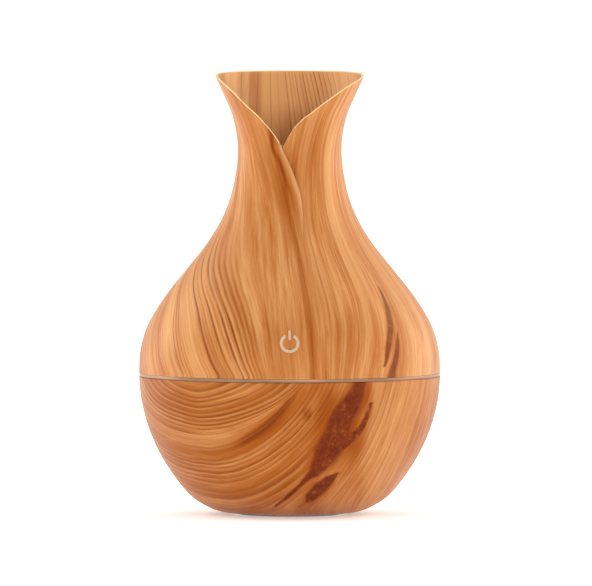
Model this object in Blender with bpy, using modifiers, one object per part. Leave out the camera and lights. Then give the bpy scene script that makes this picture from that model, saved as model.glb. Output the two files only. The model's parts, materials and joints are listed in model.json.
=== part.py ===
"""Essential oil diffuser, vase shaped, with a folded collar.

The bowl is the water tank. The upper unit plugs into it: a vase-shaped shell around a chassis that
carries the wick, the ultrasonic mesh atomiser, the circuit board and the touch key.

Lengths are written in millimetres and turned into metres by MM where geometry is made.
The origin is the middle of the foot, +Z is up, and the open front of the collar faces -Y.
"""
import math

import bmesh
import bpy
from mathutils import Matrix, Vector

MM = 0.001
GAP = 0.3                    # clearance between neighbouring pieces

# Driving dimensions
BELLY_R = 50.0               # widest radius, at the seam
BOWL_TOP = 46.0              # rim of the tank, which is also the top of the chassis
RING_H = 1.2                 # visible height of the light ring
SHADOW_GAP = 0.5             # dark groove between the light ring and the shell
NECK_R = 17.2
TANK_WALL = 2.2
SHELL_WALL = 2.0
PLUG_R = 46.0                # chassis and plug ring, which fit the tank's mouth
TOWER_R = 8.8                # outside of the tube that carries the atomiser
CUP_Z = 84.5                 # floor of the atomiser cup
CUP_TOP = 89.5
BOARD_Z = 52.0               # underside of the circuit board
BOARD_T = 1.6
BOARD_R = 35.8
POST_R = 39.5                # circle of the shell's screw posts
PORT_Z = BOARD_Z + BOARD_T + GAP + 1.35
ICON_Z = 59.0

SHELL_BOTTOM = BOWL_TOP + GAP + RING_H + SHADOW_GAP

# Outlines of the body, as (radius, height) points of one smooth curve each, bottom to top
BOWL_OUTLINE = [(19.0, 0.5), (23.6, 1.2), (28.0, 3.0), (33.0, 6.4), (38.2, 12.6), (43.0, 20.2),
                (46.8, 28.8), (49.2, 38.0), (BELLY_R, BOWL_TOP)]
VASE_OUTLINE = [(BELLY_R, SHELL_BOTTOM), (49.5, 54.5), (47.0, 63.0), (41.2, 72.5), (34.5, 81.0),
                (27.4, 90.0), (22.2, 98.7), (18.8, 108.5), (NECK_R, 120.5), (18.6, 131.0),
                (21.8, 139.0), (25.2, 146.4)]

# Rim of the collar, as (degrees from the front, height): the left petal, the overlap, the right petal
RIM = [(-188, 145.7), (-110, 144.9), (-78, 143.6), (-61, 140.6), (-44, 134.8), (-27, 129.6),
       (-14, 124.3), (-9.5, 121.9), (-6.5, 122.4), (-4, 123.6), (1, 126.1), (6, 128.4), (14, 131.0),
       (30, 135.2), (52, 140.5), (66, 142.8), (95, 144.9), (188, 145.7)]
# The left petal's edge runs on down the front as a fold: (degrees from the front, height)
FOLD_LINE = [(7, 46), (7.5, 70), (9.5, 86), (11.5, 95), (12, 102), (9.8, 108), (4.2, 113.6),
             (-1.4, 118), (-7.5, 122), (-8.5, 126), (-8.5, 150)]
FOLD_HEIGHT = 1.0            # how far the left petal stands out over the right one
FOLD_TOP = 122.0
FOLD_END = 84.0              # where the overlap has faded into the shell

BODY_STEPS = 40
SMALL_STEPS = 24


# ---------------------------------------------------------------- scene and materials

def clear_scene():
    for obj in list(bpy.data.objects):
        bpy.data.objects.remove(obj, do_unlink=True)


def new_collection(name):
    collection = bpy.data.collections.new(name)
    bpy.context.scene.collection.children.link(collection)
    return collection


def material(name, color, roughness, metallic=0.0):
    mat = bpy.data.materials.new(name)
    mat.use_nodes = True
    shader = mat.node_tree.nodes["Principled BSDF"]
    shader.inputs["Base Color"].default_value = (*color, 1.0)
    shader.inputs["Roughness"].default_value = roughness
    shader.inputs["Metallic"].default_value = metallic
    mat.diffuse_color = (*color, 1.0)
    return mat


clear_scene()
PARTS = new_collection("essential_oil_diffuser")
CUTTERS = new_collection("cutters")


def place(obj, collection, parent=None):
    collection.objects.link(obj)
    if parent is not None:
        obj.parent = parent
        obj.matrix_parent_inverse = parent.matrix_world.inverted()
    return obj


def pivot(name, height):
    """An empty on the diffuser's axis, which carries the pieces of one moving body."""
    empty = bpy.data.objects.new(name, None)
    empty.location = (0, 0, height * MM)
    PARTS.objects.link(empty)
    bpy.context.view_layer.update()
    return empty


# ---------------------------------------------------------------- outlines

def smooth_curve(points, per_span):
    """A Catmull-Rom curve through (x, y) points, with per_span steps between neighbours."""
    pts = [Vector(p) for p in points]
    ends = [2 * pts[0] - pts[1]] + pts + [2 * pts[-1] - pts[-2]]
    out = []
    for i in range(1, len(ends) - 2):
        a, b, c, d = ends[i - 1:i + 3]
        for k in range(per_span):
            t = k / per_span
            out.append(0.5 * (2 * b + (c - a) * t + (2 * a - 5 * b + 4 * c - d) * t ** 2
                              + (3 * b - a - 3 * c + d) * t ** 3))
    out.append(pts[-1])
    return out


def value_at(samples, height):
    """What a rising curve of (value, height) points gives at a height."""
    for low, high in zip(samples, samples[1:]):
        if low.y <= height <= high.y:
            share = (height - low.y) / (high.y - low.y)
            return low.x + share * (high.x - low.x)
    return samples[0].x if height < samples[0].y else samples[-1].x


def inset(samples, distance):
    """The outline moved towards the axis, along its own normals."""
    out = []
    for i, point in enumerate(samples):
        run = samples[min(i + 1, len(samples) - 1)] - samples[max(i - 1, 0)]
        normal = Vector((-run.y, run.x)).normalized()
        out.append(point + normal * distance)
    return out


def arc(cx, cy, radius, start, end, steps):
    """Points along an arc, angles in degrees."""
    angles = [math.radians(start + (end - start) * i / steps) for i in range(steps + 1)]
    return [(cx + radius * math.cos(a), cy + radius * math.sin(a)) for a in angles]


def circle(cx, cy, radius, steps=16):
    return arc(cx, cy, radius, 0, 360 - 360 / steps, steps - 1)


def rounded_box_outline(width, height, radius, steps=4):
    x, y = width / 2 - radius, height / 2 - radius
    return (arc(x, y, radius, 0, 90, steps) + arc(-x, y, radius, 90, 180, steps)
            + arc(-x, -y, radius, 180, 270, steps) + arc(x, -y, radius, 270, 360, steps))


# ---------------------------------------------------------------- solids

def finish_mesh(mesh, mat, angle=35):
    mesh.materials.append(mat)
    mesh.shade_smooth()
    mesh.set_sharp_from_angle(angle=math.radians(angle))


def turned(name, profile, mat, steps=SMALL_STEPS, parent=None, at=(0, 0), closed=True):
    """A turned piece. The profile is (radius, height) points that run down its outer side."""
    mesh = bpy.data.meshes.new(name)
    verts = [(r * MM, 0, z * MM) for r, z in profile]
    edges = [(i, i + 1) for i in range(len(verts) - 1)]
    if closed:
        edges.append((len(verts) - 1, 0))
    mesh.from_pydata(verts, edges, [])
    mesh.materials.append(mat)
    obj = bpy.data.objects.new(name, mesh)
    obj.location = (at[0] * MM, at[1] * MM, 0)
    screw = obj.modifiers.new("turn", "SCREW")
    screw.steps = steps
    screw.render_steps = steps
    screw.use_merge_vertices = True
    screw.merge_threshold = 0.00001
    screw.use_smooth_shade = True
    return place(obj, PARTS, parent)


def box_mesh(name, size, center, bevel=0.0, matrix=None):
    bm = bmesh.new()
    bmesh.ops.create_cube(bm, size=1.0)
    bmesh.ops.scale(bm, vec=[s * MM for s in size], verts=bm.verts)
    if bevel:
        bmesh.ops.bevel(bm, geom=bm.edges[:], offset=bevel * MM, segments=2, profile=0.5,
                        affect="EDGES")
    bmesh.ops.translate(bm, vec=[c * MM for c in center], verts=bm.verts)
    if matrix is not None:
        bmesh.ops.transform(bm, matrix=matrix, verts=bm.verts)
    mesh = bpy.data.meshes.new(name)
    bm.to_mesh(mesh)
    bm.free()
    return mesh


def box(name, size, center, mat, parent=None, bevel=0.15, matrix=None):
    mesh = box_mesh(name, size, center, bevel, matrix)
    finish_mesh(mesh, mat)
    return place(bpy.data.objects.new(name, mesh), PARTS, parent)


def cylinder_mesh(name, radius, bottom, top, at=(0, 0), steps=16):
    bm = bmesh.new()
    bmesh.ops.create_cone(bm, cap_ends=True, segments=steps, radius1=radius * MM,
                          radius2=radius * MM, depth=(top - bottom) * MM)
    bmesh.ops.translate(bm, vec=(at[0] * MM, at[1] * MM, (top + bottom) / 2 * MM), verts=bm.verts)
    mesh = bpy.data.meshes.new(name)
    bm.to_mesh(mesh)
    bm.free()
    return mesh


def plate_mesh(name, outlines, thickness, matrix):
    """A flat outline with its holes, made thick about its own plane, then placed by a matrix."""
    curve = bpy.data.curves.new(name, "CURVE")
    curve.dimensions = "2D"
    curve.fill_mode = "BOTH"
    curve.extrude = thickness / 2 * MM
    for outline in outlines:
        spline = curve.splines.new("POLY")
        spline.points.add(len(outline) - 1)
        spline.use_cyclic_u = True
        for point, (x, y) in zip(spline.points, outline):
            point.co = (x * MM, y * MM, 0, 1)
    flat = bpy.data.objects.new(name, curve)
    bpy.context.scene.collection.objects.link(flat)
    graph = bpy.context.evaluated_depsgraph_get()
    mesh = bpy.data.meshes.new_from_object(flat.evaluated_get(graph))
    bpy.data.objects.remove(flat)
    bpy.data.curves.remove(curve)
    bm = bmesh.new()
    bm.from_mesh(mesh)
    bmesh.ops.remove_doubles(bm, verts=bm.verts, dist=0.000001)
    bmesh.ops.transform(bm, matrix=matrix, verts=bm.verts)
    bmesh.ops.recalc_face_normals(bm, faces=bm.faces)
    bm.to_mesh(mesh)
    bm.free()
    return mesh


def lifted(height):
    return Matrix.Translation((0, 0, height * MM))


def wire(name, points, radius, mat, parent):
    """An insulated lead along a smooth route."""
    curve = bpy.data.curves.new(name, "CURVE")
    curve.dimensions = "3D"
    curve.bevel_depth = radius * MM
    curve.bevel_resolution = 2
    curve.use_fill_caps = True
    curve.render_resolution_u = 0
    curve.materials.append(mat)
    route = smooth_curve(points, 4)
    spline = curve.splines.new("POLY")
    spline.points.add(len(route) - 1)
    for point, place_at in zip(spline.points, route):
        point.co = (*(place_at * MM), 1)
    return place(bpy.data.objects.new(name, curve), PARTS, parent)


def combine(target, mesh, operation, label):
    """Joins or cuts a piece with a helper solid, which the build leaves out."""
    helper = bpy.data.objects.new(f"{target.name}_{label}", mesh)
    helper.hide_render = True
    helper.display_type = "WIRE"
    place(helper, CUTTERS, target.parent)
    modifier = target.modifiers.new(label, "BOOLEAN")
    modifier.operation = operation
    modifier.solver = "EXACT"
    modifier.object = helper


def around(count, radius, start):
    """Places on a circle: (index, x, y)."""
    for i in range(count):
        angle = math.radians(start + 360 * i / count)
        yield i, radius * math.cos(angle), radius * math.sin(angle)


# ---------------------------------------------------------------- shapes that pieces share

BOWL = smooth_curve(BOWL_OUTLINE, 2)
VASE = smooth_curve(VASE_OUTLINE, 12)
BOARD_SCREWS = [(x, y) for _, x, y in around(3, 27.0, 30)]
CAP_SCREWS = [(x, y) for _, x, y in around(3, 14.4, 30)]
CHASSIS_SCREWS = [(x, y) for _, x, y in around(4, POST_R, 45)]

# The front of the shell leans back at the touch key: a frame whose +Z points out of the surface
ICON_LEAN = math.atan2(value_at(VASE, ICON_Z - 4) - value_at(VASE, ICON_Z + 4), 8.0)
ICON_FRAME = (Matrix.Translation((0, -value_at(VASE, ICON_Z) * MM, ICON_Z * MM))
              @ Matrix.Rotation(math.pi / 2 - ICON_LEAN, 4, "X"))
PORT_FRAME = Matrix.Translation((0, 0, PORT_Z * MM)) @ Matrix.Rotation(math.pi / 2, 4, "X")


def icon_strokes(clearance):
    """The power symbol: an open ring and a bar, as outlines in the plane of the touch key."""
    middle, half, gap_angle = 2.8, 0.45 + clearance, 29.0
    trim = math.degrees(clearance / middle)
    start, end = 90 + gap_angle - trim, 450 - gap_angle + trim
    ring = (arc(0, 0, middle + half, start, end, 20)
            + arc(0, 0, middle - half, end, start, 20))
    bar_half = 0.4 + clearance
    bottom, top = -0.4 - clearance, 4.3 + clearance
    bar = [(-bar_half, bottom), (bar_half, bottom), (bar_half, top), (-bar_half, top)]
    return ring, bar


def screw_profile(head_r, head_h, shank_r, length, seat):
    """A pan-head screw with its head on a seat and its shank pointing down."""
    top = seat + head_h
    return [(0, top - 0.4), (0.8, top - 0.4), (0.9, top), (head_r * 0.7, top),
            (head_r, top - head_h * 0.5), (head_r, seat), (shank_r, seat),
            (shank_r, seat - length + shank_r), (0, seat - length)]


# ---------------------------------------------------------------- the tank

def make_tank(white, rubber, silicone, seal_pivot):
    mouth_r = PLUG_R + 0.4
    bore_bottom, floor_z, foot_r = 33.0, 3.4, 17.0
    inner = [p for p in inset(BOWL, TANK_WALL) if floor_z < p.y < bore_bottom - 3]
    profile = [(0, floor_z), (20.0, floor_z)]
    profile += [tuple(p) for p in inner if p.x > 24]
    profile += [(mouth_r, bore_bottom), (mouth_r, BOWL_TOP - 0.4), (mouth_r + 0.4, BOWL_TOP)]
    profile += [tuple(p) for p in reversed(BOWL)]
    profile += [(foot_r, BOWL[0].y), (foot_r, 1.6), (0, 1.6)]
    turned("tank_bowl", profile, white, BODY_STEPS, closed=False)

    pad_r = foot_r - GAP
    pad = [(0, 1.3), (pad_r, 1.3), (pad_r, 0.3), (pad_r - 0.3, 0), (0, 0)]
    turned("foot_pad", pad, rubber, 32, closed=False)

    # The seal rides in the groove of the plug ring
    ring = arc(45.3, 41.0, 0.8, 360, 45, 7)
    turned("seal_ring", ring, silicone, BODY_STEPS, seal_pivot)


# ---------------------------------------------------------------- the shell of the upper unit

def smooth_step(value):
    value = min(max(value, 0.0), 1.0)
    return value * value * (3 - 2 * value)


FOLD = smooth_curve(FOLD_LINE, 8)
RIM_CURVE = [point.yx for point in smooth_curve(RIM, 6)]


def bend(column, height):
    """Degrees from the front, for a column in degrees from the left petal's edge."""
    return column + value_at(FOLD, height) * smooth_step(1 - abs(column) / 60)


def rim_height(column):
    """Where a column of the shell meets the rim, found by halving the step towards it."""
    height = 130.0
    for _ in range(30):
        height = (height + value_at(RIM_CURVE, bend(column, height))) / 2
    return height


def fold_offset(column, height):
    """How far the surface stands out beside the fold, for a column in degrees from the fold line."""
    fade = smooth_step((height - FOLD_END) / (FOLD_TOP - 10 - FOLD_END))
    if column <= -1:
        return FOLD_HEIGHT * fade * smooth_step(1 + (column + 1) / 35)
    if column >= 1:
        return -0.35 * FOLD_HEIGHT * fade * smooth_step(1 - (column - 1) / 20)
    return 0.0


def shell_columns():
    """Columns of the shell's surface, in degrees, closer together at the fold."""
    side = [1, 4, 8, 14, 21] + list(range(30, 180, 10))
    return [-a for a in reversed(side)] + side + [180]


def make_shell(white, parent):
    columns = shell_columns()
    rows = 18
    bm = bmesh.new()
    grid = []
    for row in range(rows + 1):
        ring = []
        for column in columns:
            top = rim_height(column)
            height = SHELL_BOTTOM + (top - SHELL_BOTTOM) * row / rows
            angle = math.radians(bend(column, height))
            radius = value_at(VASE, height) + fold_offset(column, height)
            ring.append(bm.verts.new((radius * math.sin(angle) * MM, -radius * math.cos(angle) * MM,
                                      height * MM)))
        grid.append(ring)
    for low, high in zip(grid, grid[1:]):
        for i in range(len(columns)):
            j = (i + 1) % len(columns)
            bm.faces.new((low[i], low[j], high[j], high[i]))
    mesh = bpy.data.meshes.new("vase_shell")
    bm.to_mesh(mesh)
    bm.free()
    finish_mesh(mesh, white)
    shell = place(bpy.data.objects.new("vase_shell", mesh), PARTS, parent)
    wall = shell.modifiers.new("wall", "SOLIDIFY")
    wall.thickness = SHELL_WALL * MM
    wall.offset = -1

    post_bottom, post_top, post_r, hole_r = BOWL_TOP + GAP, 70.0, 3.0, 1.2
    for i, (x, y) in enumerate(CHASSIS_SCREWS):
        combine(shell, cylinder_mesh("post", post_r, post_bottom, post_top, (x, y)), "UNION",
                f"post_{i}")
        hole = cylinder_mesh("hole", hole_r, post_bottom - 1, post_bottom + 9, (x, y), 10)
        combine(shell, hole, "DIFFERENCE", f"hole_{i}")
    port = plate_mesh("port", [rounded_box_outline(11.0, 6.6, 1.5)], 20,
                      Matrix.Translation((0, BELLY_R * MM, 0)) @ PORT_FRAME)
    combine(shell, port, "DIFFERENCE", "port")
    for label, outline in zip(("ring", "bar"), icon_strokes(0.15)):
        slot = plate_mesh(label, [outline], 8, ICON_FRAME)
        combine(shell, slot, "DIFFERENCE", f"slot_{label}")


def make_light_ring(silver, parent):
    bottom = BOWL_TOP + GAP
    top = bottom + RING_H
    inner, lip = 44.4, 45.9
    profile = [(inner, top + 1.8), (lip, top + 1.8), (lip, top), (BELLY_R - 0.1, top),
               (BELLY_R, top - 0.1), (BELLY_R, bottom + 0.1), (BELLY_R - 0.1, bottom),
               (inner, bottom)]
    turned("light_ring", profile, silver, BODY_STEPS, parent)


# ---------------------------------------------------------------- the touch key

def make_touch_key(frosted, board_green, dark, lead_white, parent):
    disc_top, disc_t, board_t = -2.6, 0.7, 1.0
    disc = plate_mesh("touch_icon", [circle(0, 0, 4.6, 24)], disc_t,
                      ICON_FRAME @ Matrix.Translation((0, 0, (disc_top - disc_t / 2) * MM)))
    finish_mesh(disc, frosted)
    icon = place(bpy.data.objects.new("touch_icon", disc), PARTS, parent)
    rise = -disc_top + disc_t / 2
    for label, outline in zip(("ring", "bar"), icon_strokes(0.0)):
        stroke = plate_mesh(label, [outline], rise,
                            ICON_FRAME @ Matrix.Translation((0, 0, -rise / 2 * MM)))
        combine(icon, stroke, "UNION", label)

    board_top = disc_top - disc_t - GAP
    box("touch_board", (14, 12, board_t), (0, 0, board_top - board_t / 2), board_green, parent,
        0.1, ICON_FRAME)
    led_top = board_top - board_t - GAP
    box("symbol_led", (2.0, 1.2, 0.7), (0, 0, led_top - 0.35), dark, parent, 0.1, ICON_FRAME)
    start = ICON_FRAME @ Vector((4 * MM, -4 * MM, (led_top - 0.5) * MM)) / MM
    points = [start, start + Vector((0.3, 2.5, -0.8)), Vector((5, -38, 56.5)),
              Vector((8, -34, 58.5)), Vector((11, -30, 60.2)), Vector((12, -27.5, 58.6))]
    wire("touch_lead", points, 0.5, lead_white, parent)


# ---------------------------------------------------------------- the chassis and the wick

def make_chassis(white, steel, parent):
    """The deck that closes the top of the tank, and the plug ring under it that holds the seal."""
    deck_z, hole_r = BOWL_TOP - 2, TOWER_R + GAP
    profile = [(hole_r, BOWL_TOP), (PLUG_R, BOWL_TOP), (PLUG_R, deck_z), (hole_r, deck_z)]
    chassis = turned("chassis", profile, white, BODY_STEPS, parent)
    for i, (x, y) in enumerate(BOARD_SCREWS):
        boss = cylinder_mesh("boss", 2.6, BOWL_TOP - 1, BOARD_Z - GAP, (x, y))
        combine(chassis, boss, "UNION", f"boss_{i}")
        hole = cylinder_mesh("hole", 1.15, BOWL_TOP + 0.5, BOARD_Z + 1, (x, y), 10)
        combine(chassis, hole, "DIFFERENCE", f"boss_hole_{i}")
    for i, (x, y) in enumerate(CHASSIS_SCREWS):
        hole = cylinder_mesh("hole", 1.5, deck_z - 1, BOWL_TOP + 1, (x, y), 12)
        combine(chassis, hole, "DIFFERENCE", f"screw_hole_{i}")
        head_up = screw_profile(2.4, 1.6, 0.9, 9.0, 0)
        screw = turned(f"chassis_screw_{i + 1}", head_up, steel, 12, parent, (x, y), closed=False)
        screw.rotation_euler = (math.pi, 0, 0)
        screw.location.z = (deck_z - GAP) * MM

    top, bottom, inner_r, chamfer = deck_z - GAP, 36.0, 43.2, 0.6
    groove_r, groove_low, groove_high = 44.2, 39.9, 42.1
    profile = [(inner_r, top), (PLUG_R, top), (PLUG_R, groove_high), (groove_r, groove_high),
               (groove_r, groove_low), (PLUG_R, groove_low), (PLUG_R, bottom + chamfer),
               (PLUG_R - chamfer, bottom), (inner_r, bottom)]
    turned("plug_ring", profile, white, BODY_STEPS, parent)


def make_tower(white, parent):
    """The tube that stands on the chassis: it holds the wick unit below and the atomiser above."""
    inner_r, bottom, shoulder = 6.8, 38.0, 83.0
    cup_in, cup_out, cone_z, wick_hole = 11.2, 13.4, 79.5, 4.9
    foot_r, foot_low, foot_high = 12.8, BOWL_TOP + GAP, BOWL_TOP + GAP + 1.5
    profile = [(cup_in, CUP_TOP), (cup_out, CUP_TOP), (cup_out, CUP_Z - 0.5), (TOWER_R, cone_z),
               (TOWER_R, foot_high), (foot_r, foot_high), (foot_r, foot_low), (TOWER_R, foot_low),
               (TOWER_R, bottom), (inner_r, bottom), (inner_r, shoulder), (wick_hole, shoulder),
               (wick_hole, CUP_Z), (cup_in, CUP_Z)]
    tower = turned("atomizer_tower", profile, white, BODY_STEPS, parent)
    for i, (x, y) in enumerate(CAP_SCREWS):
        ear = cylinder_mesh("ear", 2.4, CUP_Z - 3, CUP_TOP, (x, y))
        combine(tower, ear, "UNION", f"ear_{i}")
        hole = cylinder_mesh("hole", 1.1, CUP_Z - 1, CUP_TOP + 1, (x * 1.04, y * 1.04), 10)
        combine(tower, hole, "DIFFERENCE", f"ear_hole_{i}")
    combine(tower, lead_notch(), "DIFFERENCE", "lead_notch")


def lead_notch():
    """The way out of the atomiser cup for the two leads, at the back."""
    return box_mesh("notch", (4.4, 12.0, 1.7), (0, 10.0, CUP_TOP - 0.15))


def make_wick(white, cotton, steel, parent):
    tube_in, tube_out, tube_bottom, tube_top = 4.6, 6.5, 10.0, 82.7
    profile = [(tube_in, tube_top), (tube_out - 0.4, tube_top), (tube_out, tube_top - 0.4),
               (tube_out, 37.7), (8.4, 37.7), (8.4, 35.7), (tube_out, 35.7),
               (tube_out, tube_bottom), (tube_in, tube_bottom)]
    tube = turned("wick_tube", profile, white, SMALL_STEPS, parent)
    for label, size in (("slots_x", (20, 2.4, 14)), ("slots_y", (2.4, 20, 14))):
        combine(tube, box_mesh(label, size, (0, 0, 25)), "DIFFERENCE", label)

    cap_out, cap_in, cap_bottom, cap_top = 8.2, tube_out + GAP, 8.2, 14.0
    profile = [(cap_in, cap_top), (cap_out, cap_top), (cap_out, cap_bottom + 1),
               (cap_out - 1, cap_bottom), (1.5, cap_bottom), (1.5, cap_bottom + 1.4),
               (cap_in, cap_bottom + 1.4)]
    turned("wick_cap", profile, white, SMALL_STEPS, parent)

    wick_r, wick_bottom, wick_top = 4.2, 16.0, CUP_Z + 1.7
    profile = [(0, wick_top), (wick_r - 0.8, wick_top), (wick_r, wick_top - 0.8),
               (wick_r, wick_bottom + 0.8), (wick_r - 0.8, wick_bottom), (0, wick_bottom)]
    turned("wick", profile, cotton, SMALL_STEPS, parent, closed=False)

    turns, coil_r, wire_r, low, high = 5, 3.4, 0.3, cap_bottom + 1.4 + 0.7, wick_bottom - 0.7
    per_turn = 10
    points = []
    for i in range(turns * per_turn + 1):
        angle = 2 * math.pi * i / per_turn
        height = low + (high - low) * i / (turns * per_turn)
        points.append(Vector((coil_r * math.cos(angle), coil_r * math.sin(angle), height)))
    wire_through("wick_spring", points, wire_r, steel, parent)


def wire_through(name, points, radius, mat, parent):
    """A wire whose points are already close together."""
    curve = bpy.data.curves.new(name, "CURVE")
    curve.dimensions = "3D"
    curve.bevel_depth = radius * MM
    curve.bevel_resolution = 1
    curve.use_fill_caps = True
    curve.render_resolution_u = 0
    curve.materials.append(mat)
    spline = curve.splines.new("POLY")
    spline.points.add(len(points) - 1)
    for point, place_at in zip(spline.points, points):
        point.co = (*(place_at * MM), 1)
    return place(bpy.data.objects.new(name, curve), PARTS, parent)


# ---------------------------------------------------------------- the atomiser

def make_atomizer(white, silicone, steel, ceramic, red, black, parent):
    gasket = CUP_Z + GAP
    profile = [(5.2, gasket + 1.4), (10.9, gasket + 1.4), (10.9, gasket), (5.2, gasket)]
    turned("lower_gasket", profile, silicone, SMALL_STEPS, parent)

    plate = gasket + 1.4 + GAP
    profile = [(0, plate + 0.7), (1.4, plate + 0.6), (2.4, plate + 0.3), (10.6, plate + 0.3),
               (10.6, plate), (2.6, plate), (1.5, plate + 0.3), (0, plate + 0.4)]
    turned("mesh_plate", profile, steel, SMALL_STEPS, parent, closed=False)

    top = plate + 0.3 + GAP
    profile = [(4.5, top + 0.6), (7.5, top + 0.6), (7.5, top), (4.5, top)]
    turned("piezo_ring", profile, ceramic, SMALL_STEPS, parent)
    profile = [(8.2, top + 1.2), (10.9, top + 1.2), (10.9, top), (8.2, top)]
    turned("upper_gasket", profile, silicone, SMALL_STEPS, parent)

    lip, lid, lid_top = top + 1.2 + GAP, CUP_TOP + GAP, 94.0
    profile = [(12.2, lid_top), (13.4, lid_top), (13.4, lid), (10.6, lid), (10.6, lip),
               (8.2, lip), (8.2, lid), (5.5, lid), (5.5, lid + 0.9)]
    cap = turned("atomizer_cap", profile, white, SMALL_STEPS, parent)
    ear_top = lid + 1.8
    for i, (x, y) in enumerate(CAP_SCREWS):
        ear = plate_mesh("ear", [circle(x * 1.04, y * 1.04, 2.4)], 1.8, lifted(lid + 0.9))
        combine(cap, ear, "UNION", f"ear_{i}")
        hole = cylinder_mesh("hole", 1.2, lid - 1, ear_top + 3.5, (x * 1.06, y * 1.06), 10)
        combine(cap, hole, "DIFFERENCE", f"hole_{i}")
        profile = screw_profile(1.9, 1.3, 0.75, 7.0, ear_top + GAP)
        turned(f"cap_screw_{i + 1}", profile, steel, 12, parent, (x * 1.06, y * 1.06), closed=False)
    combine(cap, lead_notch(), "DIFFERENCE", "lead_notch")

    solder = top + 0.6 + GAP + 0.4
    for side, mat, label in ((1, red, "red"), (-1, black, "black")):
        x = 1.0 * side
        points = [Vector((x, 5.6, solder)), Vector((x, 9.0, solder + 0.35)),
                  Vector((x, 13.0, solder + 0.5)), Vector((x * 1.4, 16.5, solder - 1.2)),
                  Vector((x * 1.6, 18.6, 80)), Vector((x * 1.4, 19.2, 72)),
                  Vector((x, 19.6, 64)), Vector((x, 19.8, 59.6))]
        wire(f"piezo_lead_{label}", points, 0.4, mat, parent)


def make_throat(white, parent):
    """The duct from the atomiser up through the neck, flared at its top to meet the shell."""
    bottom, top = 94.3, 117.0
    profile = [(13.6, top), (14.6, top - 0.2), (14.9, top - 1.0), (14.4, top - 3.0), (14.2, 104.0),
               (13.4, bottom), (12.2, bottom), (12.7, 104.0), (13.1, top - 3.0)]
    turned("mist_throat", profile, white, 32, parent)


# ---------------------------------------------------------------- the electronics

def make_board(board_green, dark, steel, white, led_white, parent):
    tab_half, tab_end = 8.0, 45.0
    join = math.degrees(math.asin(tab_half / BOARD_R))
    outline = arc(0, 0, BOARD_R, 90 + join, 450 - join, 44) + [(tab_half, tab_end),
                                                              (-tab_half, tab_end)]
    holes = [circle(0, 0, 11.0, 24)] + [circle(x, y, 1.3, 10) for x, y in BOARD_SCREWS]
    mesh = plate_mesh("main_board", [outline] + holes, BOARD_T, lifted(BOARD_Z + BOARD_T / 2))
    finish_mesh(mesh, board_green)
    place(bpy.data.objects.new("main_board", mesh), PARTS, parent)
    on_board = BOARD_Z + BOARD_T + GAP
    for i, (x, y) in enumerate(BOARD_SCREWS):
        profile = screw_profile(2.0, 1.3, 0.8, 6.0, on_board)
        turned(f"board_screw_{i + 1}", profile, steel, 12, parent, (x, y), closed=False)

    box("controller_chip", (5.0, 6.2, 1.6), (-19, -14, on_board + 0.8), dark, parent)
    box("power_transistor", (6.6, 6.2, 2.3), (-24, 0, on_board + 1.15), dark, parent)
    box("inductor", (7.0, 7.0, 4.5), (19, -14, on_board + 2.25), dark, parent, 0.8)
    can = [(0, on_board + 7.7), (2.7, on_board + 7.7), (3.0, on_board + 7.4),
           (3.0, on_board + 1.6), (2.8, on_board + 1.3), (3.0, on_board + 1.0),
           (3.0, on_board), (0, on_board)]
    turned("capacitor", can, steel, SMALL_STEPS, parent, (26, 0), closed=False)
    box("piezo_plug", (6.0, 4.5, 5.0), (0, 19.8, on_board + 2.5), white, parent, 0.3)
    box("touch_plug", (6.0, 4.5, 4.0), (12, -26.6, on_board + 2.0), white, parent, 0.3)
    for i, x, y in around(6, 33.6, 0):
        turn = Matrix.Rotation(math.atan2(y, x), 4, "Z")
        box(f"led_{i + 1}", (2.2, 3.4, 1.8), (33.6, 0, BOARD_Z - GAP - 0.9), led_white, parent,
            0.15, turn)


def make_usb(steel, dark, parent):
    front, depth = 46.9, 5.4
    socket = box("usb_socket", (7.6, depth, 2.7), (0, front - depth / 2, PORT_Z), steel, parent, 0.3)
    cavity = box_mesh("cavity", (6.9, depth, 2.0), (0, front - depth / 2 + 0.9, PORT_Z))
    combine(socket, cavity, "DIFFERENCE", "cavity")
    tongue_depth = 3.4
    box("usb_tongue", (4.4, tongue_depth, 0.6),
        (0, front - depth + 0.9 + GAP + tongue_depth / 2, PORT_Z + 0.3), dark, parent, 0.1)


# ---------------------------------------------------------------- the whole diffuser

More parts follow.
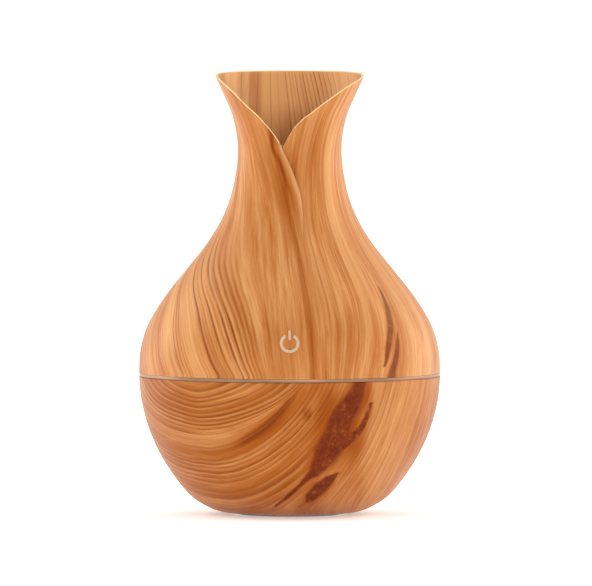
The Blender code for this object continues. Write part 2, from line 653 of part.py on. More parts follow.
def make_diffuser():
    wood = material("wood_print", (0.74, 0.40, 0.20), 0.45)
    white = material("white_plastic", (0.86, 0.84, 0.80), 0.4)
    silver = material("silver_ring", (0.62, 0.55, 0.50), 0.35)
    frosted = material("frosted_plastic", (0.80, 0.70, 0.58), 0.4)
    silicone = material("silicone", (0.75, 0.75, 0.74), 0.6)
    rubber = material("rubber", (0.35, 0.34, 0.33), 0.8)
    steel = material("steel", (0.70, 0.70, 0.71), 0.3, 1.0)
    ceramic = material("piezo_ceramic", (0.80, 0.77, 0.68), 0.5)
    cotton = material("cotton", (0.88, 0.86, 0.80), 0.95)
    board_green = material("circuit_board", (0.03, 0.22, 0.10), 0.4)
    dark = material("component_black", (0.03, 0.03, 0.03), 0.4)
    led_white = material("led_body", (0.90, 0.88, 0.74), 0.3)
    red = material("lead_red", (0.60, 0.04, 0.03), 0.45)
    lead_white = material("lead_white", (0.82, 0.82, 0.80), 0.45)

    seal_pivot = pivot("seal_pivot", BOWL_TOP)
    top_pivot = pivot("top_pivot", BOWL_TOP)
    wick_pivot = pivot("wick_pivot", BOWL_TOP)

    make_tank(wood, rubber, silicone, seal_pivot)
    make_shell(wood, top_pivot)
    make_light_ring(silver, top_pivot)
    make_touch_key(frosted, board_green, led_white, lead_white, top_pivot)
    make_chassis(white, steel, top_pivot)
    make_tower(white, top_pivot)
    make_wick(white, cotton, steel, wick_pivot)
    make_atomizer(white, silicone, steel, ceramic, red, dark, top_pivot)
    make_throat(white, top_pivot)
    make_board(board_green, dark, steel, white, led_white, top_pivot)
    make_usb(steel, dark, top_pivot)


make_diffuser()
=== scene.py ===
"""The looks of the vase-shaped essential oil diffuser.

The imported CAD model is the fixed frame. The printed shell and bowl, the foot and the seam ring are
remade here as fine meshes in the same places, and every other CAD piece keeps its shape and gets a
better material.
Lengths are in millimetres until a mesh is made, where MM turns them into metres.
"""
import json
import math

import bmesh
import bpy
import numpy as np
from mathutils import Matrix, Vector


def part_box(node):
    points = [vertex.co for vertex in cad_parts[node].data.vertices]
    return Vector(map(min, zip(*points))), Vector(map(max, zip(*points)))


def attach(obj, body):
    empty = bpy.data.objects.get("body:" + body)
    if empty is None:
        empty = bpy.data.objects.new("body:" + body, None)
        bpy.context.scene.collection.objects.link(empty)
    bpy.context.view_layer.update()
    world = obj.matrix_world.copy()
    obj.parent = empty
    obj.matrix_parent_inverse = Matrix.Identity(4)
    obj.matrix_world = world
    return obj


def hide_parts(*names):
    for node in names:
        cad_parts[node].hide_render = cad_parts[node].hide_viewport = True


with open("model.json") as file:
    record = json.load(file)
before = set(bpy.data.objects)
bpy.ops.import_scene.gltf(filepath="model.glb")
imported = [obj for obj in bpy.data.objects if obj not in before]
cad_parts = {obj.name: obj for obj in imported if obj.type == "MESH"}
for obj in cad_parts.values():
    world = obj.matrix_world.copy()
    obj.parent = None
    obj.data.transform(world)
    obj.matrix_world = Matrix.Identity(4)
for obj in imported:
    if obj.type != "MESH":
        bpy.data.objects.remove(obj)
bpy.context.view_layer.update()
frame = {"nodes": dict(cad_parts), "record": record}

MM = 0.001


def node_box(node):
    low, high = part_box(node)
    return Vector(low) / MM, Vector(high) / MM


# -------- sizes, read from the frame

bowl_low, bowl_high = node_box("tank_bowl")
ring_high = node_box("light_ring")[1]
pad_low, pad_high = node_box("foot_pad")
port_low, port_high = node_box("usb_socket")

BELLY_R = bowl_high.x
BOWL_TOP = bowl_high.z
BOWL_BASE = bowl_low.z
RING_LOW = BOWL_TOP + 0.07   # what shows of the ring, between the bowl and the shell
RING_TOP = BOWL_TOP + 1.12
SHELL_BOTTOM = BOWL_TOP + 1.15
SHELL_WALL = 2.0
RIM_WALL = 0.9               # the wall is thinner at the collar's edge
RIM_TAPER = 14.0             # and reaches its full thickness this far below it
NECK_R = 17.2
COLLAR_TOP = 146.0
PRINT_DEPTH = 112.0          # the print covers the collar's inside down to here
PORT_SIZE = (11.0, 20.0, 6.6)
PORT_CORNER = 1.5

# The frame's outlines, as (radius, height) points of one smooth curve each
BOWL_OUTLINE = [(19, BOWL_BASE), (23.6, 1.2), (28, 3), (33, 6.4), (38.2, 12.6), (43, 20.2),
                (46.8, 28.8), (49.2, 38), (BELLY_R, BOWL_TOP)]
VASE_OUTLINE = [(BELLY_R, SHELL_BOTTOM), (49.5, 54.5), (47, 63), (41.2, 72.5), (34.5, 81),
                (27.4, 90), (22.2, 98.7), (18.8, 108.5), (NECK_R, 120.5), (18.6, 131),
                (21.8, 139), (25.2, 146.4)]
# Edge of each petal, as (degrees from the front, height)
LEFT_RIM = [(-188, 146), (-120, 145.9), (-95, 145.3), (-76, 143.9), (-61, 140.9), (-52, 138),
            (-44, 135.3), (-35, 132.8), (-27, 130), (-20, 127.5), (-14, 124.8), (-10, 122.8),
            (-7, 121.4), (0, 119.6)]
RIGHT_RIM = [(-16, 118.5), (-9, 121.2), (-4, 124), (1, 126.6), (6, 128.9), (14, 131.5), (21, 133.2),
             (30, 135.7), (41, 138.5), (52, 141), (66, 143.3), (88, 145.1), (120, 145.9),
             (180, 146)]
# The left petal's edge runs on down the front as a fold: (height, degrees from the front)
FOLD_LINE = [(46, 7), (70, 7.5), (86, 9.5), (95, 11.5), (102, 12), (108, 9.8), (113.6, 4.2),
             (118, -1.4), (122, -7.5), (126, -8.5), (150, -8.5)]
FOLD_HEIGHT = 1.0            # how far the left petal stands out over the right one
FOLD_FULL = 112.0            # it stands out fully down to here
FOLD_END = 84.0              # and has faded into the shell here


# -------- curves

def smooth_curve(points, per_span=12):
    """A Catmull-Rom curve through points, as an array of rows."""
    pts = [np.array(p, float) for p in points]
    ends = [2 * pts[0] - pts[1]] + pts + [2 * pts[-1] - pts[-2]]
    out = []
    for a, b, c, d in zip(ends, ends[1:], ends[2:], ends[3:]):
        for k in range(per_span):
            t = k / per_span
            out.append(0.5 * (2 * b + (c - a) * t + (2 * a - 5 * b + 4 * c - d) * t ** 2
                              + (3 * b - a - 3 * c + d) * t ** 3))
    out.append(pts[-1])
    return np.array(out)


def smooth_step(value):
    value = np.clip(value, 0.0, 1.0)
    return value * value * (3 - 2 * value)


VASE = smooth_curve(VASE_OUTLINE)
LEFT_EDGE = smooth_curve(LEFT_RIM)
RIGHT_EDGE = smooth_curve(RIGHT_RIM)
FOLD = smooth_curve(FOLD_LINE)


def vase_radius(height):
    return np.interp(height, VASE[:, 1], VASE[:, 0])


def even_steps(outline, length):
    """Points along an outline, about a length apart."""
    curve = smooth_curve(outline, 24)
    run = np.concatenate([[0], np.cumsum(np.linalg.norm(np.diff(curve, axis=0), axis=1))])
    at = np.linspace(0, run[-1], max(int(run[-1] / length), 2) + 1)
    return np.stack([np.interp(at, run, curve[:, 0]), np.interp(at, run, curve[:, 1])], axis=1)


def inset(points, distance):
    """An outline moved towards the axis along its own normals."""
    run = np.gradient(points, axis=0)
    normal = np.stack([-run[:, 1], run[:, 0]], axis=1)
    normal /= np.linalg.norm(normal, axis=1)[:, None]
    return points + normal * distance


def arc(cx, cy, radius, start, end, steps):
    angles = np.radians(np.linspace(start, end, steps + 1))
    return [(cx + radius * math.cos(a), cy + radius * math.sin(a)) for a in angles]


# -------- meshes

def new_object(name, data):
    obj = bpy.data.objects.new(name, data)
    bpy.context.scene.collection.objects.link(obj)
    return obj


def aim(obj, target):
    direction = Vector(target) - obj.location
    obj.rotation_euler = direction.to_track_quat("-Z", "Y").to_euler()


def add_piece(name, mesh, body, *nodes, slot):
    obj = new_object(name, mesh)
    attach(obj, body)
    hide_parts(*nodes)
    return obj


def grid_mesh(name, rings, close_ends=False):
    """Quads between rings of points, each ring going round the axis."""
    rings = np.asarray(rings)
    rows, columns = rings.shape[:2]
    verts = (rings.reshape(-1, 3) * MM).tolist()
    faces = []
    for row in range(rows - 1 + close_ends):
        low, high = row * columns, ((row + 1) % rows) * columns
        for i in range(columns):
            j = (i + 1) % columns
            faces.append((low + i, low + j, high + j, high + i))
    mesh = bpy.data.meshes.new(name)
    mesh.from_pydata(verts, [], faces)
    mesh.update()
    return mesh


def shade(mesh, angle=30):
    mesh.shade_smooth()
    mesh.set_sharp_from_angle(angle=math.radians(angle))


def lathe(outline, angles):
    """Rings of points round the axis, one for each (radius, height) of an outline."""
    return [np.stack([r * np.sin(angles), -r * np.cos(angles), np.full(len(angles), z)], axis=1)
            for r, z in outline]


def turned(name, outline, steps):
    """A turned mesh from a closed outline of (radius, height) points."""
    angles = np.linspace(0, 2 * math.pi, steps, endpoint=False)
    mesh = grid_mesh(name, lathe(outline, angles), close_ends=True)
    tidy_mesh(mesh)
    shade(mesh)
    return mesh


def tidy_mesh(mesh):
    """Welds points that meet on the axis and turns the faces outwards."""
    bm = bmesh.new()
    bm.from_mesh(mesh)
    bmesh.ops.remove_doubles(bm, verts=bm.verts, dist=0.000002)
    bmesh.ops.dissolve_degenerate(bm, edges=bm.edges, dist=0.0000005)
    bmesh.ops.recalc_face_normals(bm, faces=bm.faces)
    bm.to_mesh(mesh)
    bm.free()


def rounded(outline, radius, steps=4):
    """A closed (radius, height) outline with its corners rounded."""
    pts = [Vector(p) for p in outline]
    out = []
    for before, corner, after in zip(pts[-1:] + pts[:-1], pts, pts[1:] + pts[:1]):
        to_before, to_after = before - corner, after - corner
        cut = min(radius, to_before.length * 0.45, to_after.length * 0.45)
        start, end = corner + to_before.normalized() * cut, corner + to_after.normalized() * cut
        for k in range(steps + 1):
            t = k / steps
            out.append(tuple((1 - t) ** 2 * start + 2 * t * (1 - t) * corner + t * t * end))
    return out


def store_print(mesh, grain, across, figure, knot):
    for name, values in (("grain", grain), ("across", across), ("figure", figure), ("knot", knot)):
        is_vector = values.ndim > 1
        layer = mesh.attributes.new(name, "FLOAT_VECTOR" if is_vector else "FLOAT", "POINT")
        layer.data.foreach_set("vector" if is_vector else "value", values.astype(np.float32).ravel())


# -------- the printed grain

def fold_line(height):
    """Angle of the left petal's edge, in degrees from the front."""
    return np.interp(height, FOLD[:, 0], FOLD[:, 1])


def fold_fade(height):
    """How much of the fold is there: 1 at the collar, 0 below the fold's end."""
    return smooth_step((height - FOLD_END) / (FOLD_FULL - FOLD_END))


def uneven_lines(start, end, closest, widest):
    """Dark lines whose spacing, width and depth rise and fall."""
    lines, place = [], start
    while place < end:
        count = len(lines)
        swing = 0.5 + 0.5 * math.sin(2.4 * count) * math.cos(0.9 * count)
        lines.append((place, 0.30 + 0.25 * swing, 0.45 + 0.5 * swing))
        place += closest + (widest - closest) * (0.5 + 0.5 * math.sin(1.1 * count)) ** 2
    return lines


SHELL_DRIFT, BOWL_DRIFT = 0.05, 0.06  # how slowly the grain changes along its length
RING_ROUNDS = 16             # rounds after which a ring of the bowl has settled


# Grain lines of the upper shell: where each crosses the seam, in degrees from the front, and its
# angle at the guide heights. On the left they lean with the petal, on the right they stay upright.
GUIDE_HEIGHTS = (48, 70, 90, 106, 122, 145)
GRAIN_GUIDES = [
    (-180, (-180,) * 6),
    (-75, (-75, -92, -124, -132, -140, -150)),
    (-28, (-28, -46, -84, -96, -108, -122)),
    (-17, (-17, -33, -66, -78, -88, -102)),
    (-9, (-9, -17, -38, -52, -66, -84)),
    (-1, (-1, -3, -8, -18, -36, -60)),
    (9, (9, 7, 4, -3, -14, -30)),
    (26, (26, 32, 33, 35, 40, 57)),
    (40, (40, 45, 48, 50, 57, 72)),
    (80, (80, 84, 88, 92, 96, 102)),
    (180, (180,) * 6),
]
# Left of this guide the right petal's grain runs straight into the fold, spread by this much. That
# comes in between these heights, and over this many degrees.
RIGHT_GUIDE = 26
RIGHT_SPREAD = 0.55
RIGHT_FROM, RIGHT_FULL = 86, 106
RIGHT_BLEND = 6


def seam_table(tracks, levels, angles):
    """Angle at the seam of the grain that crosses each level at each angle, evened out."""
    seam = np.array([guide[0] for guide in GRAIN_GUIDES], float)
    side = 4
    kernel = np.ones(2 * side + 1) / (2 * side + 1)
    table = []
    for level in levels:
        here = np.array([np.interp(level, track[:, 0], track[:, 1]) for track in tracks])
        row = np.interp(angles, here, seam)
        padded = np.concatenate([row[:side], row, row[-side:]])
        row[side:-side] = np.convolve(padded, kernel, "same")[2 * side:-2 * side]
        table.append(row)
    return np.array(table)


def seam_angle(phi, height, right_petal):
    """Follows the grain from a place on the shell to the seam: its angle there, in degrees."""
    tracks = [smooth_curve(list(zip(GUIDE_HEIGHTS, angles)), 10) for _, angles in GRAIN_GUIDES]
    level_step, angle_step = 1.0, 2.0
    levels = np.arange(BOWL_TOP, COLLAR_TOP + 2, level_step)
    angles = np.arange(-180.0, 181.0, angle_step)
    table = seam_table(tracks, levels, angles)
    level_at = np.clip((height - levels[0]) / level_step, 0, len(levels) - 1.001)
    angle_at = np.clip((phi - angles[0]) / angle_step, 0, len(angles) - 1.001)
    i, j = level_at.astype(int), angle_at.astype(int)
    a, b = level_at - i, angle_at - j
    shared = ((1 - a) * ((1 - b) * table[i, j] + b * table[i, j + 1])
              + a * ((1 - b) * table[i + 1, j] + b * table[i + 1, j + 1]))
    upright = tracks[[guide[0] for guide in GRAIN_GUIDES].index(RIGHT_GUIDE)]
    guide_phi = np.interp(height, upright[:, 0], upright[:, 1])
    straight = RIGHT_GUIDE + RIGHT_SPREAD * (phi - guide_phi)
    weight = (right_petal * smooth_step((height - RIGHT_FROM) / (RIGHT_FULL - RIGHT_FROM))
              * smooth_step((guide_phi - phi) / RIGHT_BLEND))
    return shared * (1 - weight) + straight * weight


def spots(places, u, v):
    """Soft elongated patches, each (u, v, half width, half height, strength)."""
    total = np.zeros_like(u)
    for cu, cv, half_u, half_v, strength in places:
        distance = ((u - cu) / half_u) ** 2 + ((v - cv) / half_v) ** 2
        total = np.maximum(total, strength * np.exp(-distance * distance * 0.9))
    return total


KINDS = ("dark", "lines", "light")
# Figure of the upper print: (degrees at the seam, height, half width, half height, strength)
SHELL_FIGURE = {
    "dark": [
        (9, 78, 1.7, 50, 0.62), (8, 106, 3.6, 17, 0.62), (-2, 56, 8, 12, 0.34), (21, 56, 4, 14, 0.26),
        (-26, 54, 3, 14, 0.3), (3, 112, 4, 12, 0.3), (26, 116, 4, 16, 0.26), (16, 122, 5, 12, 0.34),
        (-9, 100, 5, 16, 0.2), (-47, 52, 4, 7, 0.26), (47, 58, 5, 12, 0.22), (-14, 76, 3, 20, 0.16),
        (-86, 76, 5, 30, 0.36), (-124, 84, 5, 40, 0.46), (84, 96, 4, 30, 0.34), (121, 70, 6, 28, 0.42),
        (163, 92, 4, 40, 0.4)],
    "lines": [
        (-20, 66, 14, 28, 1), (-44, 58, 7, 14, 0.8), (-58, 55, 6, 8, 0.5), (22, 74, 9, 36, 0.8),
        (56, 66, 6, 18, 0.6), (-3, 76, 4, 20, 0.6), (-98, 84, 15, 44, 0.9), (-150, 88, 13, 46, 0.8),
        (96, 78, 12, 40, 0.8), (148, 80, 15, 44, 0.9)],
    "light": [
        (-36, 62, 4.5, 20, 0.5), (15, 78, 3.5, 22, 0.3), (34, 84, 4, 16, 0.45), (33, 108, 5, 22, 0.8),
        (54, 66, 4, 18, 0.35), (-32, 84, 5, 12, 0.3), (-136, 72, 5, 26, 0.55), (108, 92, 5, 30, 0.5),
        (-168, 70, 5, 30, 0.5), (172, 60, 4, 12, 0.35), (70, 70, 5, 24, 0.4)],
}
# Dark lines of the upper print's front: (mm along the seam from the front, half width, depth)
FRONT_LINES = [
    (-50.9, 0.45, 0.7), (-48.6, 0.35, 0.4), (-38.8, 0.55, 0.9), (-37.1, 0.4, 0.6), (-35.6, 0.4, 0.6),
    (-34.1, 0.35, 0.5), (-30.2, 0.35, 0.5), (-27, 0.3, 0.4), (-24.2, 0.85, 1.2), (-21.4, 0.35, 0.5),
    (-18.9, 0.65, 1), (-15.6, 0.65, 1.1), (-13.6, 0.5, 1), (-12.1, 0.4, 0.8), (-10.8, 0.35, 0.6),
    (-9.6, 0.35, 0.6), (-8.4, 0.3, 0.5), (-7.1, 0.3, 0.4), (-4.6, 0.3, 0.4), (-3.4, 0.3, 0.4),
    (7, 0.3, 0.5), (13.8, 0.45, 0.6), (16.4, 0.3, 0.4), (22.2, 0.45, 0.7), (24.5, 0.3, 0.5),
    (28.4, 0.3, 0.3), (45.4, 0.4, 0.6), (48.6, 0.4, 0.7), (53, 0.35, 0.5),
]
SHELL_LINES = uneven_lines(-155, -54, 1.3, 4.0) + FRONT_LINES + uneven_lines(57, 155, 1.3, 4.0)
# Beside the fold on the left petal: a dark valley, partly painted shade and partly a dark grain
# streak, and a painted highlight along the petal's lip: (degrees from it, half width, strength)
FOLD_SHADE_AND_STREAK = (-10.5, 4.5, 0.80)
FOLD_PAINTED_HIGHLIGHT = (-1.5, 2.0, 0.90)
# Inside the collar the places run round from the middle of the back, with this much added. Going
# down from the rim, the grain there leans to the right and spreads.
INSIDE = 300.0
INSIDE_LEAN = 0.13
INSIDE_SPREAD = 0.018
# Painted light: the print inside the collar is painted lighter to make up for the shade it lies in.
INSIDE_PAINTED_LIGHT = 1.0           # less light gets in there, so its print is lighter
INSIDE_FIGURE = {
    "dark": [
        (-11.9, 138, 2.6, 16, 0.36), (-17.5, 140, 1.6, 14, 0.3), (1, 124, 6, 9, 0.34),
        (8, 134, 7, 14, 0.18), (-30, 138, 4, 20, 0.3), (34, 140, 5, 16, 0.3)],
    "lines": [
        (2, 132, 30, 26, 1)],
    "light": [
        (-5, 140, 3.6, 12, 0.8), (20, 142, 4, 8, 0.7)],
}
INSIDE_LINES = [(INSIDE + place, 0.32, 0.75 * depth) for place, depth in (
    (-39, 0.6), (-34.5, 0.5), (-28.2, 0.9), (-23, 0.4), (-17.4, 0.9), (-13.6, 0.6), (-10.9, 0.5),
    (-6.5, 0.5), (-4.2, 0.3), (-1.5, 0.7), (-0.2, 0.5), (0.7, 0.5), (1.7, 0.7), (3.1, 0.4), (4.1, 0.8),
    (5.3, 0.6), (6.7, 1), (8, 1), (9.7, 0.9), (11.2, 0.7), (12.9, 0.8), (15, 1.1), (17.7, 0.9),
    (22.3, 0.8), (27.5, 0.5), (33, 0.6), (38, 0.5))]
# Dark lenses low on the right: chains of (mm along the seam, height, half width), from end to end
SHELL_LENSES = [
    [(33.4, 51, 0.4), (34.4, 56.6, 1.2), (36.2, 63.2, 1.5), (38.1, 69.8, 1.2), (38.8, 77, 0.3)],
    [(37, 46.5, 1.8), (37.4, 50, 1.5), (38.8, 56.6, 1), (39.6, 62, 0.3)],
]
# The bowl's print: rings round a place at the upper left of the front. They are wider than they
# are high, the inner ones most, and a power under 2 draws their flanks out into long diagonals.
RING_CENTRE = Vector((-30.5, -39.6, 51.0))
RING_POWER = 1.6
INNER_OVAL, MIDDLE_OVAL, OUTER_OVAL, LEFT_OVAL = 0.48, 0.75, 0.81, 0.45
INNER_END, MIDDLE_START, MIDDLE_END, OUTER_START = 18, 29, 34, 46
# Radians round the bowl from there: where the left oval is full, starts to fade and has gone, and
# where the rings' two flanks start to join at the back
LEFT_FULL, LEFT_FADES, LEFT_GONE, BACK_TURN = 0.2, 0.8, 2.0, 2.0
SIDE_BLEND = 8.0             # the front's figure passes into the back's this far from the sides
# Figures of the bowl's front and back: (x, height, half width, half height, strength)
BOWL_FIGURE = {
    "dark": [
        (4, 36, 8, 15, 0.46), (12, 34, 5, 15, 0.72), (0, 22, 8, 9, 0.4), (5.8, 35.6, 2.2, 2.8, 1),
        (-36, 39, 7, 4, 0.55), (-14, 9, 9, 5, 0.4), (21, 28, 4, 9, 0.65), (3, 12, 6, 8, 0.5),
        (24.5, 42, 3, 7, 0.6)],
    "lines": [
        (-22, 32, 36, 32, 0.9), (28, 24, 20, 32, 0.7), (-2, 12, 18, 12, 0.9)],
    "light": [
        (-26, 26.5, 13, 3, 0.4), (31, 26, 8, 26, 0.45), (15, 8, 7, 7, 0.3)],
}
BOWL_BACK_FIGURE = {
    "dark": [
        (6, 34, 9, 7, 0.45), (-14, 14, 9, 6, 0.45), (32, 24, 6, 10, 0.4)],
    "lines": [
        (-28, 30, 20, 24, 0.8), (20, 16, 22, 14, 0.8), (34, 38, 12, 12, 0.6)],
    "light": [
        (-34, 18, 8, 8, 0.4), (14, 27, 10, 3, 0.4)],
}
# Broad dark bands of the bowl: (how far out, half width, strength, darkest at this x, half length)
BOWL_BANDS = [(28.6, 3.0, 1.0, -6, 16), (41.5, 3.2, 0.50, -12, 20), (8.2, 1.6, 0.45, -27, 12),
              (46.5, 2.2, 0.70, -2, 14), (24.0, 1.6, 0.35, -36, 10)]
BOWL_LINES = [
    (5, 0.5, 0.5), (8.3, 0.75, 1), (10.5, 0.5, 0.8), (11.9, 0.35, 0.5), (13.7, 0.5, 0.9),
    (15.6, 0.4, 0.6), (17.1, 0.5, 1), (18.5, 0.45, 0.8), (19.8, 0.45, 0.9), (21.2, 0.45, 0.7),
    (23, 0.4, 0.5), (27.6, 0.4, 0.3), (31.8, 0.4, 0.6), (33.1, 0.35, 0.7), (34.4, 0.35, 0.6),
    (36, 0.4, 0.9), (37.7, 0.35, 0.8), (39.1, 0.3, 0.6), (42.4, 0.5, 0.6), (44.5, 0.8, 0.9),
    (46.8, 0.35, 0.6), (48.8, 0.35, 0.7), (50.9, 0.3, 0.5), (55.8, 0.3, 0.6), (57.7, 0.35, 0.7),
    (59.5, 0.3, 0.5), (61.6, 0.3, 0.4), (64.7, 0.45, 0.9), (66.6, 0.3, 0.4), (70.6, 0.35, 0.5),
    (75, 0.35, 0.4),
] + uneven_lines(78, 132, 1.2, 3.2)
# Dark knots and streaks of the bowl: chains of (x, height, half width), from end to end
BOWL_KNOTS = [
    [(23.6, 47, 1.9), (22.2, 42, 2.6), (20, 38.4, 3.6), (17.4, 34.6, 4), (16.2, 31.2, 4.3),
     (15.4, 28.2, 4.6), (13.6, 24.9, 4.5), (12, 22, 4.1), (9.9, 18.9, 3.1), (8.2, 16.4, 2.2),
     (6.2, 14.4, 1.1), (3.6, 11.6, 0.6), (-0.9, 7.4, 0.6), (-4.8, 4.2, 0.3)],
    [(16, 15.6, 0.3), (12.6, 12.8, 1.7), (9.6, 10.3, 2.3), (7.1, 7.5, 1.8), (5.3, 5.4, 0.3)],
    [(26.8, 38.8, 0.3), (25.6, 34.5, 0.7), (23.8, 30.9, 1), (20.9, 27.4, 1.2), (18, 24.8, 1)],
]


def hump(value, place, width, strength):
    return strength * np.exp(-((value - place) / width) ** 2)


def chain_mask(chain, u, v):
    """1 inside a chain of round spots, falling to 0 at their edge and below 0 outside."""
    best = np.full_like(u, -1.0)
    for (u0, v0, r0), (u1, v1, r1) in zip(chain, chain[1:]):
        du, dv = u1 - u0, v1 - v0
        t = np.clip(((u - u0) * du + (v - v0) * dv) / (du * du + dv * dv), 0, 1)
        distance = np.hypot(u - u0 - t * du, v - v0 - t * dv)
        best = np.maximum(best, 1 - distance / (r0 + (r1 - r0) * t))
    return best


def knot_mask(chains, u, v):
    return np.maximum.reduce([chain_mask(chain, u, v) for chain in chains])


def print_shell(points, right_petal, inside):
    """The shell's grain at each point: a vector that changes across it and hardly along it, the
    distance across it, the strengths of its figure, which also holds painted shade and a painted
    highlight beside the fold and painted light inside the collar, and how deep the point is in a lens."""
    height = points[:, 2]
    phi = np.degrees(np.arctan2(points[:, 0], -points[:, 1]))
    seam = seam_angle(phi, height, right_petal)
    angle = np.radians(seam)
    from_back = np.arctan2(points[:, 0], points[:, 1])
    below_rim = COLLAR_TOP - height
    fan = np.hypot(points[:, 0], points[:, 1]) * from_back - INSIDE_LEAN * below_rim
    fan = fan / (1 + INSIDE_SPREAD * below_rim)
    along = SHELL_DRIFT * height
    grain = np.stack([BELLY_R * np.sin(angle), -BELLY_R * np.cos(angle), along], axis=1)
    within = np.stack([fan + INSIDE, np.zeros_like(fan), along], axis=1)
    grain = np.where(inside[:, None], within, grain)
    across = np.where(inside, INSIDE + fan, BELLY_R * angle)
    figure = [np.where(inside, spots(INSIDE_FIGURE[kind], fan, height),
                       spots(SHELL_FIGURE[kind], seam, height)) for kind in KINDS]
    from_fold = phi - fold_line(height)
    # painted shade and a painted highlight beside the fold, on the outside of the left petal
    beside = fold_fade(height) * (1 - right_petal) * ~inside
    figure[0] = np.maximum(figure[0], beside * hump(from_fold, *FOLD_SHADE_AND_STREAK))
    figure[2] = np.maximum(figure[2], beside * hump(from_fold, *FOLD_PAINTED_HIGHLIGHT))
    # painted light all over the inside of the collar
    figure[2] = np.maximum(figure[2], INSIDE_PAINTED_LIGHT * inside)
    lenses = np.where(inside, -1.0, knot_mask(SHELL_LENSES, BELLY_R * angle, height))
    return grain, across, np.stack(figure, axis=1), lenses


def print_bowl(points):
    """The same for the bowl, whose grain runs in rings."""
    x, y, height = points.T
    front = smooth_step((SIDE_BLEND - y) / (2 * SIDE_BLEND))
    centre = math.atan2(RING_CENTRE.x, -RING_CENTRE.y)
    turn = np.arctan2(x, -y) - centre
    turn = (turn + math.pi) % (2 * math.pi) - math.pi
    past = np.maximum(np.abs(turn) - BACK_TURN, 0)
    run = np.hypot(x, y) * (np.abs(turn) - past ** 2 / (2 * (math.pi - BACK_TURN)))
    drop = np.abs(height - RING_CENTRE.z)
    on_left = smooth_step(-turn / LEFT_FULL) * smooth_step((LEFT_GONE + turn) / (LEFT_GONE - LEFT_FADES))
    to_middle, to_outer = MIDDLE_START - INNER_END, OUTER_START - MIDDLE_END
    ring = drop
    for _ in range(RING_ROUNDS):
        oval = (INNER_OVAL + (MIDDLE_OVAL - INNER_OVAL) * smooth_step((ring - INNER_END) / to_middle)
                + (OUTER_OVAL - MIDDLE_OVAL) * smooth_step((ring - MIDDLE_END) / to_outer))
        oval = oval + (LEFT_OVAL - oval) * on_left
        ring = ((oval * run) ** RING_POWER + drop ** RING_POWER) ** (1 / RING_POWER)
    grain = np.stack([ring, BOWL_DRIFT * x, BOWL_DRIFT * height], axis=1)
    figure = [spots(BOWL_FIGURE[kind], x, height) * front
              + spots(BOWL_BACK_FIGURE[kind], x, height) * (1 - front) for kind in KINDS]
    for place, width, strength, middle, length in BOWL_BANDS:
        band = hump(ring, place, width, strength) * hump(x, middle, length, 1.0)
        figure[0] = np.maximum(figure[0], band * front)
    knots = np.where(y < 0, knot_mask(BOWL_KNOTS, x, height), -1.0)
    return grain, ring, np.stack(figure, axis=1), knots


# -------- material nodes

LINE_GROUP_GAP = 8.0         # mm between lines, past which they get another ramp


